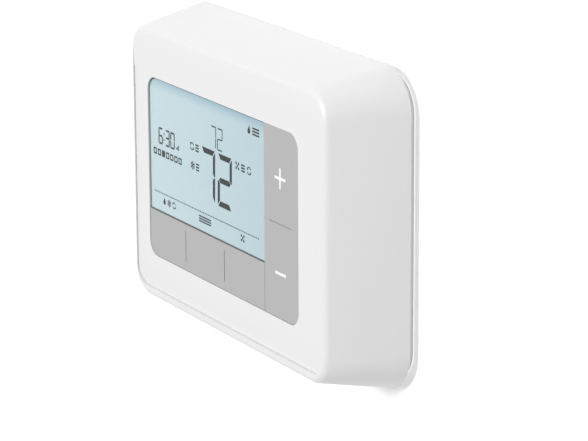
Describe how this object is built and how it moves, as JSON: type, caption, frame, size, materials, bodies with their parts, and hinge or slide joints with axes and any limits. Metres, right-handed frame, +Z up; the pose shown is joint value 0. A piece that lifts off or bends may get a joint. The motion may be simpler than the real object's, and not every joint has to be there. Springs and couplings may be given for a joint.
{
  "type": "wall thermostat",
  "caption": "Landscape wall thermostat with a backlit display, five flush keys and a control unit that pulls off its wired wall plate.",
  "frame": {"origin": "centre of the wall plate's back face, on the wall", "axes": "+X to the right, +Z up, +Y into the wall; the face looks towards -Y"},
  "size_m": [0.136, 0.0274, 0.098],
  "materials": {
    "white_plastic": "fine satin moulded white",
    "grey_key": "satin grey",
    "clear_lens": "clear polished acrylic",
    "display_glass": "pale blue display",
    "film": "matte film",
    "light_guide": "polished clear acrylic",
    "elastomer": "soft striped elastomer",
    "led": "cast resin",
    "board": "solder resist",
    "dark_plastic": "moulded dark grey",
    "black_plastic": "moulded black",
    "relay_case": "moulded blue",
    "capacitor_sleeve": "shrink sleeve",
    "sensor_epoxy": "dipped epoxy",
    "battery_sleeve": "printed sleeve",
    "brass": "drawn brass",
    "plated_steel": "zinc plated",
    "nickel": "nickel plated"
  },
  "bodies": {
    "wall": {"wall_plate": "white_plastic", "terminal_block_left": "dark_plastic", "terminal_block_right": "dark_plastic", "terminal_clamps": "brass", "terminal_screws": "plated_steel", "contact_pins": "brass", "jumper": "brass"},
    "unit": {"front_housing": "white_plastic", "rear_cover": "white_plastic", "case_screws": "plated_steel", "main_board": "board", "board_screws": "plated_steel", "display_lens": "clear_lens", "display_cell": "display_glass", "diffuser_film": "film", "light_guide": "light_guide", "reflector_film": "film", "display_frame": "white_plastic", "elastomer_strip": "elastomer", "backlight_leds": "led", "switch_bodies": "plated_steel", "relays": "relay_case", "controller_chip": "black_plastic", "clock_crystal": "plated_steel", "reserve_capacitor": "capacitor_sleeve", "temperature_sensor": "sensor_epoxy", "socket_left": "black_plastic", "socket_right": "black_plastic", "battery_upper": "battery_sleeve", "battery_lower": "battery_sleeve", "bridge_contact": "nickel", "spring_contact": "nickel", "button_contact": "nickel"},
    "key_left_body": {"key_left": "grey_key", "stem_left": "dark_plastic"},
    "key_middle_body": {"key_middle": "grey_key", "stem_middle": "dark_plastic"},
    "key_right_body": {"key_right": "grey_key", "stem_right": "dark_plastic"},
    "key_plus_body": {"key_plus": "grey_key", "stem_plus": "dark_plastic"},
    "key_minus_body": {"key_minus": "grey_key", "stem_minus": "dark_plastic"}
  },
  "joints": [
    {"name": "unit_pull", "type": "slide", "parent": "wall", "child": "unit", "axis": [0, -1, 0], "range_m": [0, 0.04]},
    {"name": "key_left_press", "type": "slide", "parent": "unit", "child": "key_left_body", "axis": [0, 1, 0], "range_m": [0, 0.0005], "stiffness_N_per_m": 2500, "springref_m": -0.0004},
    {"name": "key_middle_press", "type": "slide", "parent": "unit", "child": "key_middle_body", "axis": [0, 1, 0], "range_m": [0, 0.0005], "stiffness_N_per_m": 2500, "springref_m": -0.0004},
    {"name": "key_right_press", "type": "slide", "parent": "unit", "child": "key_right_body", "axis": [0, 1, 0], "range_m": [0, 0.0005], "stiffness_N_per_m": 2500, "springref_m": -0.0004},
    {"name": "key_plus_press", "type": "slide", "parent": "unit", "child": "key_plus_body", "axis": [0, 1, 0], "range_m": [0, 0.0005], "stiffness_N_per_m": 2500, "springref_m": -0.0004},
    {"name": "key_minus_press", "type": "slide", "parent": "unit", "child": "key_minus_body", "axis": [0, 1, 0], "range_m": [0, 0.0005], "stiffness_N_per_m": 2500, "springref_m": -0.0004}
  ]
}
